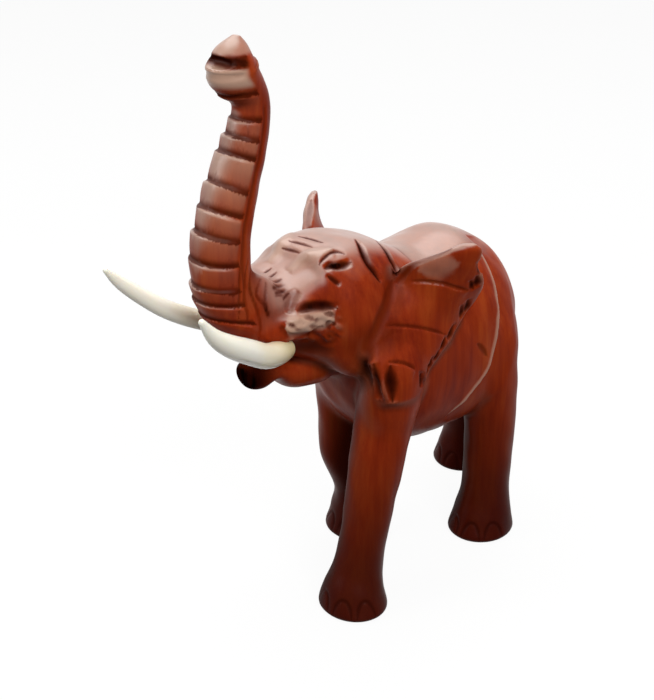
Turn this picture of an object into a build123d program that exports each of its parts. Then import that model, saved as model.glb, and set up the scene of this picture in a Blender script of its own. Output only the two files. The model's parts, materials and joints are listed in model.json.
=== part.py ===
"""Carved wooden elephant with a raised trunk and inset tusks.

X is the elephant's left, its face looks along -Y, Z is up, and all sizes are in mm.
Three pieces: the body, carved from one block of timber, and two tusks glued into drilled sockets.
"""
from build123d import *
import math
import os

# ---- Tusks and their sockets ------------------------------------------------
TENON_RADIUS = 2.6
TENON_LENGTH = 7.0
GLUE_GAP = 0.10          # glue line round the tenon and round the tusk's root
END_GAP = 0.50           # room for glue past the tenon's end

# ---- Trunk ------------------------------------------------------------------
RING_PROUD = 1.7         # how far the front of each ring's top edge stands out of the trunk
RING_SIDE = 0.85         # how far its sides do
RING_SUNK = 0.4          # how far inside the trunk's surface each ring starts
RING_BACK = 1.5          # how far inside it the back of each ring lies
RING_SHELF = 1.3         # height of the step under each ring
NOSTRIL_WIDTH = 15.0
NOSTRIL_HEIGHT = 4.2
NOSTRIL_DEPTH = 4.5
NOSTRIL_LEVEL = 242.5    # height of the nostrils above the floor

# ---- Ears -------------------------------------------------------------------
SCALLOPS = 9             # notches carved into the rear edge of each ear
SCALLOP_RADIUS = 1.9

# ---- Eyes -------------------------------------------------------------------
EYE_PLACE = (18.6, -52.5, 159.4)
EYE_OUTWARD = (0.70, -0.15, 0.70)
SOCKET_SIZE = (6.0, 2.3, 1.6)    # half sizes of the almond-shaped hollow
EYEBALL_SIZE = (3.0, 1.5, 1.1)   # half sizes of the ball left standing in it

# ---- Cross-sections: y, x, height of widest line, half width, rise, drop ----
# The barrel, from its rim at the flank to the chest
BARREL = (
    (38.5, 0.0, 105.5, 21.0, 28.0, 29.0),
    (36.0, 0.0, 105.5, 30.3, 39.5, 40.0),
    (31.5, 0.0, 105.5, 35.0, 44.2, 44.8),
    (24.0, 0.0, 105.5, 36.6, 45.4, 46.2),
    (4.0, 0.0, 106.0, 36.8, 42.2, 46.5),
    (-16.0, 0.0, 108.0, 35.0, 43.2, 44.0),
    (-31.0, 0.0, 111.0, 24.0, 37.0, 32.0),
    (-40.5, 0.0, 116.0, 15.0, 22.0, 16.0),
)
# The hindquarters, from the rump to well inside the barrel: narrower, so the barrel's rim stands out
HINDQUARTERS = (
    (75.5, -8.0, 103.0, 2.0, 2.5, 3.0),
    (73.0, -8.0, 103.0, 8.0, 10.0, 11.5),
    (67.0, -7.0, 103.0, 15.5, 20.0, 22.0),
    (57.0, -3.0, 104.0, 24.6, 30.5, 33.5),
    (43.0, -0.5, 105.0, 31.6, 39.2, 41.5),
    (28.0, 0.0, 105.5, 33.4, 44.6, 43.5),
    (8.0, 0.0, 106.0, 32.0, 40.5, 42.0),
)
BELLY_FULLNESS = 2.5     # 2 is an ellipse, more is squarer

# Head sections, nape to muzzle: y, height of centre, half width, rise, drop
HEAD = (
    (-8.0, 119.0, 23.0, 31.5, 24.0),
    (-22.0, 128.0, 25.5, 31.0, 31.0),
    (-40.0, 134.0, 25.5, 30.2, 31.0),
    (-55.5, 138.2, 23.8, 24.8, 27.0),
    (-62.0, 140.2, 22.6, 18.4, 24.5),
    (-70.0, 142.0, 20.3, 13.4, 21.0),
    (-82.0, 144.0, 15.0, 9.6, 13.5),
)
HEAD_FULLNESS = 2.8      # squares off the brow and the cheeks

# Lower jaw sections, throat to lip: y, height of centre, half width, half height
JAW = (
    (-38.0, 115.0, 14.0, 13.0),
    (-54.0, 111.0, 12.0, 10.5),
    (-66.0, 111.0, 10.0, 7.4),
    (-73.0, 114.2, 8.4, 4.8),
    (-80.0, 113.6, 7.6, 6.2),
    (-84.5, 114.2, 6.2, 5.8),
    (-87.2, 115.2, 3.4, 3.6),
)

# Trunk sections, root to tip: y, z, half width, half depth
TRUNK = (
    (-84.0, 136.0, 12.0, 11.0),
    (-91.4, 146.0, 12.6, 11.6),
    (-95.2, 158.0, 12.4, 11.6),
    (-95.5, 170.0, 11.9, 11.2),
    (-93.0, 183.0, 11.1, 10.6),
    (-88.5, 196.0, 10.2, 9.9),
    (-83.3, 208.0, 8.9, 8.9),
    (-79.4, 219.5, 7.5, 7.8),
    (-79.2, 226.5, 7.2, 7.1),
    (-81.8, 232.0, 8.2, 7.8),
    (-86.8, 238.2, 9.8, 10.4),
    (-86.4, 243.0, 8.4, 8.8),
    (-85.3, 248.0, 5.2, 5.2),
    (-84.7, 251.5, 1.6, 1.4),
)
RING_EDGES = (142.0, 151.0, 158.5, 167.0, 177.5, 187.5, 197.0, 207.0, 214.5, 221.0)

# Ear sections, lobe to tip: x, y, z, half thickness, half length, flare in degrees
EAR = (
    (38.8, -34.5, 103.0, 2.8, 8.5, -5.0),
    (37.6, -32.2, 110.0, 3.8, 15.3, -1.5),
    (35.6, -28.8, 118.0, 4.2, 19.3, 3.0),
    (33.0, -22.5, 127.0, 4.4, 22.2, 8.7),
    (32.8, -17.7, 136.0, 4.4, 21.1, 20.0),
    (34.0, -13.2, 146.0, 4.0, 18.0, 38.0),
    (39.3, -12.2, 155.0, 3.2, 14.6, 42.0),
    (45.0, -8.0, 161.0, 2.4, 8.0, 40.0),
    (46.6, -6.2, 163.8, 1.4, 3.0, 40.0),
)
# How far forward of and below the left ear's each section of the right ear sits, as the two differ a little
RIGHT_EAR_SHIFT = (
    (0.0, 0.0), (0.0, 0.0), (0.0, 0.0), (0.5, 0.0), (2.0, 0.0),
    (5.4, 0.4), (2.4, 1.0), (0.4, 1.5), (-0.4, 1.7),
)

# Sheath that the left tusk comes out from under, cheek to front: y, x, z, half width, half height
SHEATH = (
    (-54.0, 14.0, 141.0, 3.0, 3.0),
    (-58.0, 14.6, 141.0, 7.0, 6.0),
    (-66.0, 15.0, 140.5, 8.2, 7.6),
    (-76.0, 14.6, 139.6, 7.8, 7.2),
    (-84.0, 13.0, 139.0, 5.4, 5.4),
    (-88.0, 12.0, 139.0, 2.0, 2.4),
)
MOUTH_PLACE = (24.5, -72.0, 123.5)
MOUTH_SIZE = (9.0, 17.0, 7.5)    # half sizes of the hollow on each side of the mouth

# Leg levels above the floor, inside the body to sole, and the half widths (across, along) at each
LEG_LEVELS = (124.0, 116.0, 104.0, 86.0, 64.0, 42.0, 22.0, 10.0, 3.0, 0.0)
FRONT_GIRTH = (
    (4.0, 5.0), (9.0, 11.5), (12.0, 14.2), (12.6, 12.8), (11.9, 11.8),
    (10.6, 10.6), (10.6, 10.9), (13.4, 13.2), (16.0, 14.4), (16.0, 14.4),
)
HIND_GIRTH = (
    (6.0, 8.0), (12.0, 15.0), (15.0, 17.4), (14.5, 14.6), (12.4, 12.2),
    (11.5, 11.6), (11.3, 12.0), (13.4, 14.6), (15.0, 16.2), (15.0, 16.2),
)
# Centre line (x, y) of each leg at those levels: the left pair strides out
FRONT_LEFT = (
    (20.0, -20.0), (22.5, -22.0), (24.5, -25.5), (26.5, -32.0), (27.0, -37.0),
    (27.0, -41.5), (26.9, -46.2), (27.4, -49.6), (27.9, -50.6), (27.9, -50.6),
)
FRONT_RIGHT = (
    (-20.0, -17.0), (-20.4, -15.5), (-20.0, -14.4), (-19.6, -13.6), (-19.6, -12.6),
    (-20.4, -12.2), (-18.4, -4.8), (-17.4, -4.6), (-16.0, -6.4), (-16.0, -6.4),
)
HIND_LEFT = (
    (16.0, 28.0), (18.5, 31.0), (20.9, 34.2), (22.2, 37.2), (23.6, 40.0),
    (23.8, 40.6), (23.9, 40.0), (24.4, 38.2), (24.6, 37.2), (24.6, 37.2),
)
HIND_RIGHT = (
    (-14.0, 42.0), (-17.0, 45.0), (-20.0, 49.0), (-22.5, 58.0), (-24.0, 68.0),
    (-24.5, 75.0), (-25.0, 80.5), (-25.5, 80.5), (-25.5, 80.0), (-25.5, 80.0),
)

# Tail in relief on the rump, root to tuft: y, z, half width, half depth
TAIL_X = -8.0
TAIL = (
    (58.0, 131.0, 2.4, 3.0),
    (66.5, 122.0, 2.8, 3.2),
    (73.2, 112.0, 2.8, 3.2),
    (76.0, 101.0, 2.6, 3.2),
    (74.0, 88.5, 2.6, 3.4),
    (69.0, 77.0, 3.2, 4.0),
    (66.0, 68.0, 2.2, 3.0),
)

# Left tusk centre line, root to tip: x, y, z, radius
LEFT_TUSK = (
    (13.6, -74.5, 129.0, 4.5),
    (18.2, -83.0, 130.4, 4.9),
    (22.6, -93.0, 133.8, 5.0),
    (26.0, -104.0, 140.4, 4.9),
    (28.6, -114.5, 147.0, 4.3),
    (30.0, -122.5, 153.6, 3.1),
    (30.5, -129.0, 162.5, 1.0),
)
# The right tusk's, mirrored to the left side: slimmer, and it sweeps up sooner
RIGHT_TUSK = (
    (13.6, -74.5, 129.4, 4.4),
    (18.2, -83.0, 131.2, 4.5),
    (22.6, -93.0, 134.6, 4.1),
    (26.0, -104.0, 140.8, 3.8),
    (28.6, -114.5, 149.2, 3.3),
    (30.0, -122.5, 156.6, 2.5),
    (30.5, -128.6, 163.6, 0.9),
)


def egg(plane, half_width, rise, drop, top_fullness, low_fullness):
    """A closed section with its own height and squareness above and below its widest line."""
    points = []
    for step in range(16):
        angle = math.tau * step / 16
        side = math.cos(angle)
        up = math.sin(angle)
        height = rise if up >= 0 else drop
        power = 2 / (top_fullness if up >= 0 else low_fullness)
        wide = math.copysign(abs(side) ** power, side)
        tall = math.copysign(abs(up) ** power, up)
        points.append((half_width * wide, height * tall))
    return plane * make_face(Spline(points, periodic=True))


def oval(plane, half_side, half_depth):
    """An elliptical section on a plane."""
    return plane * Ellipse(half_side, half_depth)


def across(x, y, z):
    """A section plane across the body, with Z up in it."""
    return Plane(origin=(x, y, z), x_dir=(1, 0, 0), z_dir=(0, -1, 0))


def along(points, index, side):
    """A section plane square to a path of points at one of them."""
    before = Vector(*points[max(index - 1, 0)][:3])
    after = Vector(*points[min(index + 1, len(points) - 1)][:3])
    return Plane(origin=points[index][:3], x_dir=side, z_dir=after - before)


def torso(rows):
    """The barrel or the hindquarters, lofted through egg-shaped sections."""
    sections = []
    for y, x, z, half_width, rise, drop in rows:
        sections.append(egg(across(x, y, z), half_width, rise, drop, 2, BELLY_FULLNESS))
    return loft(sections)


def head():
    """The head from nape to muzzle, with a squared brow."""
    sections = []
    for y, z, half_width, rise, drop in HEAD:
        sections.append(egg(across(0, y, z), half_width, rise, drop, HEAD_FULLNESS, 2))
    return loft(sections)


def jaw():
    """The lower jaw, from inside the throat to its lip."""
    return loft([oval(across(0, y, z), half_width, half_height) for y, z, half_width, half_height in JAW])


def leg(centres, girths):
    """One leg, lofted through level ellipses from inside the body down to a flat sole."""
    sections = []
    for (x, y), level, (half_side, half_length) in zip(centres, LEG_LEVELS, girths):
        plane = Plane(origin=(x, y, level))
        sections.append(oval(plane, half_side, half_length))
    return loft(sections)


def trunk_row(height):
    """Centre and half sizes of the trunk at a height, between its sections."""
    for low, high in zip(TRUNK, TRUNK[1:]):
        if low[1] <= height <= high[1]:
            part = (height - low[1]) / (high[1] - low[1])
            return [a + (b - a) * part for a, b in zip(low, high)]
    return list(TRUNK[-1])


def trunk():
    """The raised trunk, with rings carved round its front like a stack of shallow cups."""
    path = [(0, y, z) for y, z, half_width, half_depth in TRUNK]
    sections = []
    for index, (y, z, half_width, half_depth) in enumerate(TRUNK):
        sections.append(oval(along(path, index, (1, 0, 0)), half_width, half_depth))
    body = loft(sections)
    for low, high in zip(RING_EDGES, RING_EDGES[1:]):
        body += ring(low, high)
    return body


def ring(low, high):
    """One ring: it widens upwards, stands proud at its top edge and fades out at the back."""
    top = high - RING_SHELF / 2
    rows = [trunk_row(low), trunk_row(top)]
    lean = Vector(0, rows[1][0] - rows[0][0], top - low)
    cups = []
    fronts = (-RING_SUNK, RING_PROUD)
    sides = (-RING_SUNK, RING_SIDE)
    for (y, z, half_width, half_depth), front, side in zip(rows, fronts, sides):
        plane = Plane(origin=(0, y - (front + RING_BACK) / 2, z), x_dir=(1, 0, 0), z_dir=lean)
        cups.append(oval(plane, half_width + side, half_depth + (front - RING_BACK) / 2))
    return loft(cups)


def sheath():
    """The swollen lip over the left tusk's root."""
    ovals = [oval(across(x, y, z), half_width, half_height) for y, x, z, half_width, half_height in SHEATH]
    return loft(ovals)


def mouth_hollow():
    """The hollow at the left side of the mouth, between the sheath and the jaw."""
    return Pos(*MOUTH_PLACE) * scale(Sphere(1), by=MOUTH_SIZE)


def nostrils():
    """The scoop in the front of the trunk's tip, between its upper and lower lips."""
    y, z, half_width, half_depth = trunk_row(NOSTRIL_LEVEL)
    mouth = Plane(origin=(0, y - half_depth - 1.0, z), x_dir=(1, 0, 0), z_dir=(0, 1, -0.15))
    outer = oval(mouth, NOSTRIL_WIDTH / 2 + 1.0, NOSTRIL_HEIGHT / 2 + 0.6)
    inner = oval(mouth.offset(NOSTRIL_DEPTH), NOSTRIL_WIDTH / 2 - 2.0, NOSTRIL_HEIGHT / 2 - 1.2)
    return loft([outer, inner])


def almond(half_sizes, sink):
    """An ellipsoid at the left eye, sunk below the skin."""
    place = Plane(origin=EYE_PLACE, x_dir=(0, 1, 0), z_dir=EYE_OUTWARD)
    return place * Pos(0, 0, -sink) * scale(Sphere(1), by=half_sizes)


def ear(rows):
    """An ear on the left side: a leaf that flares out from the neck, with a notched rear edge."""
    sections = []
    for x, y, z, half_thick, half_length, flare in rows:
        turn = math.radians(flare)
        plane = Plane(origin=(x, y, z), x_dir=(math.cos(turn), -math.sin(turn), 0), z_dir=(0, 0, 1))
        sections.append(oval(plane, half_thick, half_length))
    leaf = loft(sections)
    bottom = rows[1][2]
    top = rows[-2][2]
    for step in range(SCALLOPS):
        height = bottom + (top - bottom) * (step + 0.5) / SCALLOPS
        for low, high in zip(rows, rows[1:]):
            if low[2] <= height <= high[2]:
                part = (height - low[2]) / (high[2] - low[2])
                x, y, z, half_thick, half_length, flare = [a + (b - a) * part for a, b in zip(low, high)]
        turn = math.radians(flare)
        reach = half_length + 0.5
        centre = (x + reach * math.sin(turn), y + reach * math.cos(turn), z)
        notch = Plane(origin=centre, x_dir=(0, 0, 1), z_dir=(math.cos(turn), -math.sin(turn), 0))
        leaf -= notch * Cylinder(SCALLOP_RADIUS, 14)
    return leaf


def tail():
    """The tail, carved in relief down the rump to its tuft."""
    path = [(TAIL_X, y, z) for y, z, half_width, half_depth in TAIL]
    sections = []
    for index, (y, z, half_width, half_depth) in enumerate(TAIL):
        sections.append(oval(along(path, index, (1, 0, 0)), half_width, half_depth))
    return loft(sections)


def right_ear_rows():
    """Sections of the right ear, as if it were on the left."""
    rows = []
    for (x, y, z, *sizes), (forward, down) in zip(EAR, RIGHT_EAR_SHIFT):
        rows.append((x, y - forward, z - down, *sizes))
    return rows


def tusk_planes(rows):
    """Section planes of a tusk, with the first one at its root."""
    points = [row[:3] for row in rows]
    return [along(points, index, (1, 0.45, 0)) for index in range(len(points))]


def tusk(rows):
    """A tusk on the left side: a curved taper, with a round tenon on its flat root."""
    planes = tusk_planes(rows)
    blade = loft([oval(plane, row[3], row[3]) for plane, row in zip(planes, rows)])
    tenon = planes[0] * Pos(0, 0, -TENON_LENGTH / 2 + 1) * Cylinder(TENON_RADIUS, TENON_LENGTH + 2)
    return blade + tenon


def socket(rows):
    """What is cut from the cheek for a tusk: a flat seat, and a hole for the tenon."""
    root = tusk_planes(rows)[0]
    seat_radius = rows[1][3] + GLUE_GAP + 0.3
    reach = 3 * seat_radius
    seat = root * Pos(0, 0, reach / 2) * Cylinder(seat_radius, reach)
    depth = TENON_LENGTH + END_GAP
    hole = root * Pos(0, 0, -depth / 2 + 1) * Cylinder(TENON_RADIUS + GLUE_GAP, depth + 2)
    return seat + hole


def body():
    """The whole animal, carved from one block."""
    solid = torso(BARREL) + torso(HINDQUARTERS) + head()
    hollow = mouth_hollow()
    solid -= hollow
    solid -= mirror(hollow, Plane.YZ)
    solid += jaw()
    lip = sheath()
    solid += lip
    solid += mirror(lip, Plane.YZ)
    solid += leg(FRONT_LEFT, FRONT_GIRTH)
    solid += leg(FRONT_RIGHT, FRONT_GIRTH)
    solid += leg(HIND_LEFT, HIND_GIRTH)
    solid += leg(HIND_RIGHT, HIND_GIRTH)
    solid += trunk()
    solid -= nostrils()
    hollow = almond(SOCKET_SIZE, 0)
    eyeball = almond(EYEBALL_SIZE, SOCKET_SIZE[2] * 0.7)
    solid -= hollow
    solid -= mirror(hollow, Plane.YZ)
    solid += eyeball
    solid += mirror(eyeball, Plane.YZ)
    solid += ear(EAR)
    solid += mirror(ear(right_ear_rows()), Plane.YZ)
    solid += tail()
    solid -= socket(LEFT_TUSK)
    solid -= mirror(socket(RIGHT_TUSK), Plane.YZ)
    return solid


def main():
    """Builds the three pieces and writes one STEP file for each."""
    os.makedirs("parts", exist_ok=True)
    pieces = {
        "carved_body": body(),
        "left_tusk": tusk(LEFT_TUSK),
        "right_tusk": mirror(tusk(RIGHT_TUSK), Plane.YZ),
    }
    box = Compound(children=[Part(piece.wrapped) for piece in pieces.values()]).bounding_box()
    move = Pos(0, -box.center().Y, -box.min.Z)
    for name, piece in pieces.items():
        placed = move * piece
        print(name, "solids", len(placed.solids()), "valid", placed.is_valid, placed.bounding_box())
        export_step(placed, os.path.join("parts", name + ".step"))


main()
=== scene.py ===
"""Dresses the carved hardwood elephant: one sculpted body of varnished timber and two tusks of ivory resin.

Tables of sizes are in millimetres in the carver's frame: X is the elephant's left, its face looks along -Y,
Z is up from the floor and Y is zero at the middle of the barrel. The body is sculpted as a field of distances
to its surface. Rounded forms are melted together first, then the gouge's cuts are taken out of them.
"""
import json
import logging
import math
from dataclasses import dataclass, field, replace
from enum import Enum
from typing import Iterator, NamedTuple, Optional, Sequence

import bpy
import numpy as np
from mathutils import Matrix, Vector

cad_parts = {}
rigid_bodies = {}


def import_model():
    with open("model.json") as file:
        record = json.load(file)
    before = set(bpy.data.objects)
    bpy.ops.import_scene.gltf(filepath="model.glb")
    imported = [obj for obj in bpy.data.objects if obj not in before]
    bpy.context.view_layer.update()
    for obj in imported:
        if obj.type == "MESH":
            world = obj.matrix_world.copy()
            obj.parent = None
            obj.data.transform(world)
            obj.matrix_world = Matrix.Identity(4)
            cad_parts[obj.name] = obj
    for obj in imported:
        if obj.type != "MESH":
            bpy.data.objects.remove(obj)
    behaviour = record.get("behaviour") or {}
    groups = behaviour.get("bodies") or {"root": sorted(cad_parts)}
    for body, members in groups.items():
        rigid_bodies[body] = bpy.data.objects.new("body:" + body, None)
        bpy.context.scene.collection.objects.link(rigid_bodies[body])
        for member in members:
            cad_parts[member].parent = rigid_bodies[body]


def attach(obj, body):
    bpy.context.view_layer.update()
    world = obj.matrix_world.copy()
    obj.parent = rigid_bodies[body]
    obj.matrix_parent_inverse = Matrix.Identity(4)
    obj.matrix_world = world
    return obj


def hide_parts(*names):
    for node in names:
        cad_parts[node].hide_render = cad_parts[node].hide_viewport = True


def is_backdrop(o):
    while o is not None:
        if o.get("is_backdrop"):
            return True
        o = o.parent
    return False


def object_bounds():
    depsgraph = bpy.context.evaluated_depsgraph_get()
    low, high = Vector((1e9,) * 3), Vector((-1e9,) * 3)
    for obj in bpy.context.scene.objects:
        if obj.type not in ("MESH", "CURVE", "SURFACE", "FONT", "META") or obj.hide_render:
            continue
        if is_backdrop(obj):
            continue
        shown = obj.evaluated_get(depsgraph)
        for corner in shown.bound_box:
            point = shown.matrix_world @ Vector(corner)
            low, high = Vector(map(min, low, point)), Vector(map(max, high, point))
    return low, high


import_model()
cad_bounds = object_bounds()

import openvdb as vdb
from mathutils import Matrix, Vector

log = logging.getLogger("elephant")

MM = 0.001
CARVER_Y = 16.833            # the part's own zero lies this far in front of the middle of the barrel
VOXEL = 0.6
BLOCK_LOW = (-58, -116, -2)  # corners of the block that the animal is sculpted in
BLOCK_HIGH = (58, 100, 256)
FAR = 1e9                    # a gap wider than any that is measured
UP = (0, 0, 1)
ACROSS = (1, 0, 0)
Path = Sequence[Sequence[float]]
Array = np.ndarray


# ---------------------------------------------------------------- shapes


class Shell(NamedTuple):
    """A closed mesh that the clay can take in."""

    points: Array
    quads: Array
    triangles: Array


class Side(Enum):
    """The two sides of the animal."""

    LEFT = 1
    RIGHT = -1


def flow(rows: Sequence[Sequence[float]], per: int = 8) -> Array:
    """Samples a smooth run through rows of values, with a number of samples per gap between two rows."""
    given = np.asarray(rows, float)
    padded = np.vstack([2 * given[0] - given[1], given, 2 * given[-1] - given[-2]])
    out = []
    for index in range(len(given) - 1):
        a, b, c, d = padded[index:index + 4]
        for step in range(per):
            t = step / per
            out.append(0.5 * (2 * b + (c - a) * t + (2 * a - 5 * b + 4 * c - d) * t ** 2
                              + (3 * b - a - 3 * c + d) * t ** 3))
    out.append(given[-1])
    return np.array(out)


def soft_step(low: float, high: float, value: Array) -> Array:
    """Zero below low, one above high and smooth between."""
    t = np.clip((value - low) / (high - low), 0.0, 1.0)
    return t * t * (3 - 2 * t)


def band(value: Array, rise: Sequence[float], drop: Sequence[float]) -> Array:
    """One between two soft edges, and zero outside them."""
    return soft_step(*rise, value) * (1 - soft_step(*drop, value))


def dot(a: Sequence[Array], b: Sequence[Array]) -> Array:
    """The sum of the products of two triples."""
    return a[0] * b[0] + a[1] * b[1] + a[2] * b[2]


def face_list(quads: Array, triangles: Array) -> list[tuple[int, ...]]:
    """Quads, then triangles, as tuples."""
    return [tuple(face) for faces in (quads, triangles) for face in faces.tolist()]


def close_rings(rings: Sequence[Array]) -> Shell:
    """Joins rings of points into a closed shell whose faces look outwards."""
    count, around = len(rings), len(rings[0])
    points = np.vstack([*rings, rings[0].mean(axis=0), rings[-1].mean(axis=0)]).astype(np.float32)
    here = np.arange(around)
    after = (here + 1) % around
    quads = np.vstack([
        np.stack([first + here, first + after, first + around + after, first + around + here], 1)
        for first in range(0, (count - 1) * around, around)
    ])
    last = (count - 1) * around
    start = np.stack([np.full(around, count * around), after, here], 1)
    end = np.stack([np.full(around, count * around + 1), last + here, last + after], 1)
    triangles = np.vstack([start, end])
    corners = np.vstack([triangles, quads[:, :3], quads[:, [0, 2, 3]]])
    a, b, c = (points[corners[:, i]] for i in range(3))
    volume = np.einsum("ij,ij->i", a, np.cross(b, c))
    if volume.sum() < 0:
        quads = quads[:, ::-1]
        triangles = triangles[:, ::-1]
    return Shell(points, np.ascontiguousarray(quads, np.uint32), np.ascontiguousarray(triangles, np.uint32))


def mirrored(shell: Shell) -> Shell:
    """The shell on the other side of the animal."""
    flip = np.array([-1, 1, 1], np.float32)
    return Shell(shell.points * flip, np.ascontiguousarray(shell.quads[:, ::-1]),
                 np.ascontiguousarray(shell.triangles[:, ::-1]))


def circle(around: int) -> tuple[Array, Array]:
    """Cosine and sine of evenly spaced angles."""
    angle = np.linspace(0, math.tau, around, endpoint=False)
    return np.cos(angle), np.sin(angle)


def egg_ring(x: float, y: float, z: float, half_width: float, rise: float, drop: float,
             top: float, low: float, around: int = 160) -> Array:
    """A ring across the body with its own rise and squareness above and below its widest line."""
    c, s = circle(around)
    power = np.where(s >= 0, 2 / top, 2 / low)
    across = half_width * np.sign(c) * np.abs(c) ** power
    up = np.where(s >= 0, rise, drop) * np.sign(s) * np.abs(s) ** power
    return np.stack([x + across, np.full(around, y), z + up], 1)


def tube(rows: Array, side: Sequence[float] = ACROSS, around: int = 96) -> Shell:
    """A shell swept along a line, from rows of x, y, z, half side and half depth."""
    centre = rows[:, :3]
    along = np.gradient(centre, axis=0)
    along /= np.linalg.norm(along, axis=1, keepdims=True)
    across = np.asarray(side, float) - along * (along @ np.asarray(side, float))[:, None]
    across /= np.linalg.norm(across, axis=1, keepdims=True)
    depth = np.cross(along, across)
    c, s = circle(around)
    return close_rings([
        p[:3] + np.outer(c * p[3], a) + np.outer(s * p[4], d) for p, a, d in zip(rows, across, depth)
    ])


def ellipsoid(centre: Sequence[float], half_sizes: Sequence[float],
              side: Sequence[float] = ACROSS, out: Sequence[float] = UP) -> Shell:
    """A ball with three half sizes, turned so that its last axis points out."""
    w = np.asarray(out, float) / np.linalg.norm(out)
    u = np.asarray(side, float) - w * float(w @ np.asarray(side, float))
    u /= np.linalg.norm(u)
    v = np.cross(w, u)
    c, s = circle(48)
    rings = []
    for angle in math.pi * np.arange(1, 24) / 24:
        flat = np.outer(c, u) * half_sizes[0] + np.outer(s, v) * half_sizes[1]
        rings.append(np.asarray(centre) + flat * math.sin(angle) + w * half_sizes[2] * math.cos(angle))
    return close_rings(rings)


@dataclass(frozen=True)
class Stroke:
    """One cut of the gouge, or one ridge left standing, along the surface.

    Attributes:
        path: points near the surface.
        width: half width in mm, on the side that toward points to.
        depth: how deep the cut is; a negative depth raises the surface.
        other: half width on the far side, where it differs.
        toward: direction of the first side.
        soft: a round bottom in place of a sharp one.
        ends: share of the length over which each end fades out.
        stain: how much dark stain and painted shade it leaves; below zero, how pale it is painted with wear and a
            highlight.
    """

    path: Path
    width: float
    depth: float
    other: Optional[float] = None
    toward: Sequence[float] = UP
    soft: bool = False
    ends: tuple[float, float] = (0.3, 0.3)
    stain: float = 0.0

    def moved(self, by: Sequence[float], **changes) -> "Stroke":
        """The same stroke at another place."""
        return replace(self, path=[tuple(np.add(p, by)) for p in self.path], **changes)

    def flipped(self) -> "Stroke":
        """The same stroke on the other side of the animal."""
        x, y, z = self.toward
        return replace(self, path=[(-x, y, z) for x, y, z in self.path], toward=(-x, y, z))

    def fade(self, along: Array) -> Array:
        """How strong the stroke is at shares of its length."""
        strength = np.ones_like(along)
        for end, run in zip(self.ends, (along, 1 - along)):
            if end > 0:
                strength = strength * np.sqrt(np.clip(run / end, 0, 1))
        return strength

    def points(self) -> Array:
        """The path, smoothed."""
        return flow(self.path, 6 if len(self.path) > 2 else 8)

    def mark(self, points: Array, layer: Array) -> None:
        """Raises a layer of stain and painted shade, or of wear and painted highlight, at the points that the stroke
        reaches.
        """
        path = np.asarray(self.path)
        reach = self.width * 1.25
        low, high = path.min(axis=0) - reach, path.max(axis=0) + reach
        chosen = np.flatnonzero(np.all((points > low) & (points < high), axis=1))
        if not len(chosen):
            return
        spot = points[chosen]
        gap = np.full(len(spot), FAR)
        along = np.zeros(len(spot))
        for index, (a, b) in enumerate(zip(path, path[1:])):
            step = b - a
            t = np.clip((spot - a) @ step / (step @ step + 1e-9), 0, 1)
            away = np.linalg.norm(spot - a - t[:, None] * step, axis=1)
            along = np.where(away < gap, (index + t) / (len(path) - 1), along)
            gap = np.minimum(gap, away)
        thin = np.maximum(self.fade(along), 0.12)
        share = abs(self.stain) * (1 - soft_step(self.width * 0.35 * thin, reach * thin, gap))
        layer[chosen] = np.maximum(layer[chosen], share)


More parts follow.
